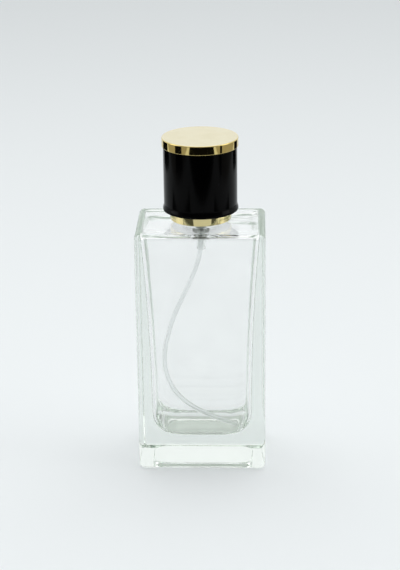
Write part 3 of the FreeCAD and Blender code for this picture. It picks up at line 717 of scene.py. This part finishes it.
def cap_shell(finish):
    """Black cap that swells softly to its rim, with the ring that carries the lid."""
    flare = []
    for k in range(FLARE_STEPS + 1):
        share = k / FLARE_STEPS
        swell = (CAP_RIM_RADIUS - CAP_RADIUS) * (1 - share) ** 2 * (1 + 2 * share)
        flare.append((CAP_RADIUS + swell, CAP_BOTTOM + FLARE_START + FLARE_LENGTH * share))
    profile = [
        (CAP_INNER_RADIUS, CAP_BOTTOM),
        (CAP_RIM_RADIUS, CAP_BOTTOM, CAP_RIM_ROUND),
        *flare,
        (CAP_RADIUS, CAP_TOP, CAP_TOP_ROUND),
        (BOSS_RADIUS, CAP_TOP),
        (BOSS_RADIUS, BOSS_TOP),
        (BOSS_RADIUS - BOSS_WALL, BOSS_TOP),
        (BOSS_RADIUS - BOSS_WALL, CAP_TOP),
        (0.0, CAP_TOP),
        (0.0, CAP_CEILING),
        (CAP_INNER_RADIUS, CAP_CEILING),
    ]
    shell = turned(profile, CAP_TURN_STEPS)
    smooth(shell)
    dress(shell, "cap_shell", "cap", finish)


def cap_lid(finish):
    """Gold lid with its top edge and its band's lower edge rounded."""
    profile = [
        (LID_INNER_RADIUS, CAP_TOP),
        (LID_RADIUS, CAP_TOP, LID_BAND_ROUND),
        (LID_RADIUS, LID_TOP, LID_TOP_ROUND),
        (0.0, LID_TOP),
        (0.0, LID_UNDER_TOP),
        (LID_INNER_RADIUS, LID_UNDER_TOP),
    ]
    lid = turned(profile, CAP_TURN_STEPS)
    smooth(lid)
    dress(lid, "cap_lid", "cap", finish)


def collar_shell(finish):
    """Gold collar: a band with soft edges, a step for the cap and a sleeve turned in at the top."""
    inner = COLLAR_RADIUS - COLLAR_SHEET
    sleeve_inner = SLEEVE_RADIUS - COLLAR_SHEET
    profile = [
        (inner, COLLAR_BOTTOM),
        (COLLAR_RADIUS, COLLAR_BOTTOM, COLLAR_BOTTOM_ROUND),
        (COLLAR_RADIUS, COLLAR_STEP, COLLAR_STEP_ROUND),
        (SLEEVE_RADIUS, COLLAR_STEP),
        (SLEEVE_RADIUS, COLLAR_TOP, SLEEVE_TOP_ROUND),
        (COLLAR_MOUTH_RADIUS, COLLAR_TOP, COLLAR_MOUTH_ROUND),
        (COLLAR_MOUTH_RADIUS, COLLAR_TOP - COLLAR_SHEET),
        (sleeve_inner, COLLAR_TOP - COLLAR_SHEET),
        (sleeve_inner, COLLAR_STEP - COLLAR_SHEET),
        (inner, COLLAR_STEP - COLLAR_SHEET),
    ]
    collar = turned(profile, CAP_TURN_STEPS)
    smooth(collar)
    dress(collar, "collar_shell", "bottle", finish)


def pump_housing(finish):
    """Pump body seen through the glass: flange, chamber, rounded step and tail with a socket."""
    profile = [
        (SOCKET_RADIUS, SOCKET_MOUTH_TOP),
        (SOCKET_MOUTH_RADIUS, TAIL_END),
        (TAIL_RADIUS, TAIL_END, TAIL_ROUND),
        (TAIL_RADIUS, HOUSING_STEP),
        (HOUSING_RADIUS, HOUSING_STEP, HOUSING_STEP_ROUND),
        (HOUSING_RADIUS, FLANGE_BOTTOM),
        (FLANGE_RADIUS, FLANGE_BOTTOM, FLANGE_ROUND),
        (FLANGE_RADIUS, FLANGE_TOP, FLANGE_ROUND),
        (CHAMBER_RADIUS, FLANGE_TOP),
        (CHAMBER_RADIUS, CHAMBER_FLOOR),
        (BALL_LIP_RADIUS, CHAMBER_FLOOR),
        (BALL_LIP_RADIUS, BALL_LIP_BOTTOM),
        (BALL_POCKET_RADIUS, BALL_LIP_BOTTOM),
        (BALL_POCKET_RADIUS, BALL_SEAT + BALL_POCKET_RADIUS - INLET_RADIUS),
        (INLET_RADIUS, BALL_SEAT),
        (INLET_RADIUS, SOCKET_TOP),
        (SOCKET_RADIUS, SOCKET_TOP),
    ]
    housing = turned(profile, PUMP_TURN_STEPS)
    smooth(housing)
    dress(housing, "pump_housing", "bottle", finish)


def button_shell(finish):
    """Gold sleeve of the spray button with a slightly dished top and a window for the nozzle."""
    under_top = BUTTON_SHELL_TOP - BUTTON_SHELL_SHEET
    profile = [
        (BUTTON_SHELL_INNER, BUTTON_SHELL_BOTTOM),
        (BUTTON_SHELL_RADIUS, BUTTON_SHELL_BOTTOM, BUTTON_BOTTOM_ROUND),
        (BUTTON_SHELL_RADIUS, BUTTON_SHELL_TOP, BUTTON_TOP_ROUND),
        (BUTTON_SHELL_RADIUS - DISH_EDGE, BUTTON_SHELL_TOP),
        (BUTTON_SHELL_RADIUS - DISH_SLOPE_END, BUTTON_SHELL_TOP - DISH_SLOPE_DEPTH),
        (0.0, BUTTON_SHELL_TOP - DISH_DEPTH),
        (0.0, under_top),
        (BUTTON_SHELL_INNER, under_top),
    ]
    shell = turned(profile)
    window = start(
        bpy.ops.mesh.primitive_cylinder_add,
        vertices=NOZZLE_SIDES,
        radius=(NOZZLE_RADIUS + WINDOW_PLAY) * MM,
        depth=WINDOW_LENGTH * MM,
        location=(0.0, -BUTTON_SHELL_RADIUS * MM, SPRAY_LEVEL * MM),
        rotation=(math.pi / 2, 0.0, 0.0),
    )
    boolean(shell, window, "DIFFERENCE")
    smooth(shell)
    dress(shell, "actuator_shell", "actuator", finish)


def nozzle_insert(finish):
    """Spray nozzle: a small plug with a rounded face, a dish and the orifice in its middle."""
    length = NOZZLE_LENGTH - NOZZLE_SETBACK
    front = -(BUTTON_SHELL_RADIUS - NOZZLE_SETBACK)
    nozzle = start(
        bpy.ops.mesh.primitive_cylinder_add,
        vertices=NOZZLE_SIDES,
        radius=NOZZLE_RADIUS * MM,
        depth=length * MM,
        location=(0.0, (front + length / 2) * MM, SPRAY_LEVEL * MM),
        rotation=(math.pi / 2, 0.0, 0.0),
    )

    def on_front(corners):
        return all(abs(p.y - front) < SAME_LEVEL for p in corners)

    pick(nozzle, "FACE", on_front)
    bpy.ops.mesh.bevel(offset=NOZZLE_EDGE * MM, segments=NOZZLE_EDGE_SEGMENTS, affect="EDGES")
    pick(nozzle, "FACE", on_front)
    for width, depth in NOZZLE_STEPS:
        bpy.ops.mesh.inset(thickness=width * MM, depth=0.0)
        step = {"value": (0.0, depth * MM, 0.0)}
        bpy.ops.mesh.extrude_region_move(TRANSFORM_OT_translate=step)
    smooth(nozzle)
    dress(nozzle, "nozzle_insert", "actuator", finish)


def coil(radius, wire, turns, bottom, length):
    """A spring between two flat seats: the wire's section screwed up and closed at its ends."""
    climb = length - wire - 2 * SPRING_PLAY
    spring = start(
        bpy.ops.mesh.primitive_circle_add,
        vertices=WIRE_SIDES,
        radius=wire / 2 * MM,
        location=(radius * MM, 0.0, (bottom + wire / 2 + SPRING_PLAY) * MM),
        rotation=(math.pi / 2, 0.0, 0.0),
    )
    screw = spring.modifiers.new("winding", "SCREW")
    screw.angle = turns * 2 * math.pi
    screw.screw_offset = climb * MM
    screw.steps = round(turns * WIRE_STEPS_PER_TURN)
    screw.render_steps = screw.steps
    bpy.ops.object.modifier_apply(modifier=screw.name)
    mode("EDIT")
    bpy.ops.mesh.select_all(action="SELECT")
    bpy.ops.mesh.fill_holes(sides=0)
    bpy.ops.mesh.select_all(action="SELECT")
    bpy.ops.mesh.normals_make_consistent(inside=False)
    mode("OBJECT")
    smooth(spring, 40.0)
    return spring


def springs(finish):
    """The pump's two springs, one on the bottle and one on the stem."""
    spring = coil(
        RETURN_COIL_RADIUS, RETURN_WIRE, RETURN_TURNS, CHAMBER_FLOOR, RETURN_SPRING_LENGTH
    )
    dress(spring, "return_spring", "bottle", finish)
    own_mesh(spring)
    room = STEM_BOTTOM - PISTON_TOP
    spring = coil(
        PRECOMPRESSION_COIL_RADIUS, PRECOMPRESSION_WIRE, PRECOMPRESSION_TURNS, PISTON_TOP, room
    )
    dress(spring, "precompression_spring", "stem", finish)
    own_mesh(spring)


def dip_tube(finish):
    """Translucent hollow tube, one smooth curve from the pump's tail to the floor's right corner."""
    curve = bpy.data.curves.new("dip_tube_route", "CURVE")
    curve.dimensions = "3D"
    curve.resolution_u = TUBE_STEPS
    spline = curve.splines.new("NURBS")
    spline.points.add(len(TUBE_ROUTE) - 1)
    for point, (x, y, z) in zip(spline.points, TUBE_ROUTE):
        point.co = (x * MM, y * MM, z * MM, 1.0)
    spline.order_u = 3
    spline.use_endpoint_u = True
    tube = bpy.data.objects.new("dip_tube_dressed", curve)
    bpy.context.collection.objects.link(tube)
    bpy.context.view_layer.update()
    line = bpy.data.meshes.new_from_object(tube)
    bpy.data.meshes.remove(line)
    curve.bevel_depth = TUBE_RADIUS * MM
    curve.bevel_resolution = TUBE_BEVEL_STEPS
    bpy.ops.object.select_all(action="DESELECT")
    tube.select_set(True)
    bpy.context.view_layer.objects.active = tube
    bpy.ops.object.convert(target="MESH")
    wall = tube.modifiers.new("wall", "SOLIDIFY")
    wall.thickness = TUBE_WALL * MM
    wall.offset = -1.0
    bpy.ops.object.modifier_apply(modifier=wall.name)
    smooth(tube, 40.0)
    dress(tube, "dip_tube", "bottle", finish)


def dress_hidden(finishes):
    """The solids that stay as they are, inside the cap and the pump, get their finishes."""
    for finish, names in finishes:
        for name in names:
            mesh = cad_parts[name].data
            mesh.materials.clear()
            mesh.materials.append(finish)


def photo_camera():
    """The photograph's point of view: slightly right of the front, looking down on the cap."""
    camera = bpy.data.objects.new("camera", bpy.data.cameras.new("camera"))
    bpy.context.collection.objects.link(camera)
    bpy.context.scene.camera = camera
    right = Vector((0.999357, 0.033771, -0.012011))
    down = Vector((0.000676, -0.352810, -0.935695))
    ahead = Vector((-0.035837, 0.935085, -0.352607))
    eye = Vector((24.219, -650.788, 322.995)) * MM
    camera.matrix_world = Matrix((right, -down, -ahead)).transposed().to_4x4()
    camera.location = eye
    camera.data.sensor_width = 36.0
    camera.data.lens = 103.655


def studio_finish(name, colour, spread, roughness):
    """A plain stage surface with a trace of unevenness."""
    material, flow = new_finish(name)
    clouds = noise(flow, 6.0, 3.0)
    low = tuple(c * (1 - spread) for c in colour)
    surface(
        flow,
        Base_Color=ramp(flow, clouds, (0.3, low), (0.7, colour)),
        Roughness=roughness,
        Specular_IOR_Level=0.0,
    )
    return material


def stage_card(name, finish, middle, size, turn=(0.0, 0.0, 0.0), mirrored=False):
    """A flat card of the stage; a mirrored one shows only in gloss and metal and casts no shade."""
    bpy.ops.object.select_all(action="DESELECT")
    bpy.ops.mesh.primitive_plane_add(size=1.0, location=middle, rotation=turn)
    card = bpy.context.object
    card.name = name
    card.scale = (*size, 1.0)
    card.data.materials.append(finish)
    if mirrored:
        card.visible_camera = False
        card.visible_diffuse = False
        card.visible_transmission = False
        card.visible_shadow = False


def soft_light(name, spot, size, power):
    """A rectangular soft light aimed at the bottle."""
    lamp = bpy.data.lights.new(name, "AREA")
    lamp.shape = "RECTANGLE"
    lamp.size, lamp.size_y = size
    lamp.energy = power
    light = bpy.data.objects.new(name, lamp)
    bpy.context.collection.objects.link(light)
    light.location = spot
    towards = Vector(LIGHTS_AIM) - Vector(spot)
    light.rotation_euler = towards.to_track_quat("-Z", "Y").to_euler()


def mirrored_card(name, finish, azimuth, near, far, width, height=0.5):
    """A card on the floor in some direction from the bottle, in degrees right of the front."""
    turn = math.radians(azimuth)
    away = (near + far) / 2 * MM
    middle = (away * math.sin(turn), -away * math.cos(turn), height * MM)
    size = (width * MM, (far - near) * MM)
    stage_card(name, finish, middle, size, (0.0, 0.0, turn), mirrored=True)


def studio():
    """Pale floor in bright surroundings, soft lights, and cards for the gloss and the metal."""
    paper = studio_finish("pale_paper", (0.805, 0.83, 0.84), 0.01, 0.7)
    dark = studio_finish("dark_card", (0.006, 0.006, 0.006), 0.2, 0.9)
    stage_card("floor", paper, (0.0, 0.0, FLOOR_LEVEL), (FLOOR_SIZE, FLOOR_SIZE))
    shade = studio_finish("shaded_paper", (0.58, 0.64, 0.585), 0.02, 0.7)
    stage_card("floor_under_bottle", shade, (0.0, 0.0, SHADE_LEVEL), SHADE_SIZE)
    grey = studio_finish("grey_card", (0.10, 0.105, 0.10), 0.1, 0.9)
    dim = studio_finish("dim_card", (0.42, 0.40, 0.35), 0.1, 0.9)
    # degrees right of the front, near end, far end, width, and for some the height over the floor
    mirrored_card("left_far_card", dim, -72.0, 425.0, 640.0, 640.0, 0.3)
    mirrored_card("right_far_card", dim, 85.0, 425.0, 640.0, 640.0, 0.3)
    mirrored_card("front_card", dark, 7.0, 385.0, 900.0, 612.0)
    mirrored_card("left_strip", dark, -65.5, 440.0, 580.0, 202.0)
    mirrored_card("right_strip", dark, 66.5, 440.0, 580.0, 62.0)
    mirrored_card("left_back_strip", dark, -125.0, 440.0, 580.0, 262.0)
    mirrored_card("right_back_strip", dark, 135.0, 440.0, 580.0, 202.0)
    mirrored_card("left_card", grey, -62.0, 262.0, 356.0, 402.0)
    mirrored_card("right_card", grey, 72.0, 280.0, 356.0, 350.0)
    # place, width and height, power
    soft_light("left_light", (-0.9, -0.1, 0.5), (0.5, 0.9), 2.0)
    soft_light("right_light", (0.9, -0.1, 0.5), (0.5, 0.9), 2.0)
    soft_light("top_light", (0.0, 0.1, 1.1), (0.9, 0.9), 3.0)
    world = bpy.data.worlds.new("surroundings")
    bpy.context.scene.world = world
    world.use_nodes = True
    world.node_tree.nodes.clear()
    flow = Flow(world.node_tree)
    # dim at the front, where the camera is, and bright at the back
    way = along(flow, flow.node("ShaderNodeTexCoord", output="Generated"), 1)
    sky = ramp(
        flow,
        way * 0.5 + 0.5,
        (0.15, (0.12, 0.12, 0.12)),
        (0.40, (0.55, 0.56, 0.56)),
        (0.58, (0.90, 0.92, 0.925)),
        (0.8, (0.93, 0.95, 0.95)),
    )
    glow = flow.node("ShaderNodeBackground", inputs={"Color": sky, "Strength": SKY_STRENGTH})
    flow.node("ShaderNodeOutputWorld", inputs={"Surface": glow})
    scene = bpy.context.scene
    scene.view_settings.view_transform = "Standard"
    # light turns many times inside thick glass before it leaves it
    scene.cycles.max_bounces = LIGHT_BOUNCES
    scene.cycles.glossy_bounces = LIGHT_BOUNCES
    scene.cycles.transmission_bounces = LIGHT_BOUNCES


def build():
    """Make the finishes, model the pieces that are dressed, and finish the solids that stay."""
    glass = clear_glass()
    black = black_gloss()
    gold = gold_anodised("gold_anodised", (0.66, 0.52, 0.19), (0.71, 0.57, 0.24))
    pale_gold = gold_anodised("pale_gold_anodised", (0.62, 0.53, 0.26), (0.67, 0.58, 0.31))
    white = moulded_plastic("white_plastic", (0.70, 0.70, 0.68), (0.78, 0.78, 0.76), 0.35)
    natural = pump_plastic()
    tubing = clear_tubing()
    rubber = moulded_plastic("grey_rubber", (0.16, 0.16, 0.17), (0.22, 0.22, 0.23), 0.7)
    sheet = lacquered_sheet()
    wire = drawn_wire()
    glass_bottle(glass)
    cap_shell(black)
    cap_lid(gold)
    collar_shell(pale_gold)
    pump_housing(natural)
    button_shell(gold)
    nozzle_insert(white)
    springs(wire)
    dip_tube(tubing)
    in_cap = ("cap_liner", "collar_retainer", "actuator_core")
    in_pump = ("housing_closure", "stem", "piston_rod", "piston")
    dress_hidden(
        [
            (white, in_cap + in_pump),
            (rubber, ("neck_gasket", "stem_seal")),
            (sheet, ("crimp_ferrule",)),
            (wire, ("check_ball",)),
        ]
    )


build()
photo_camera()
studio()
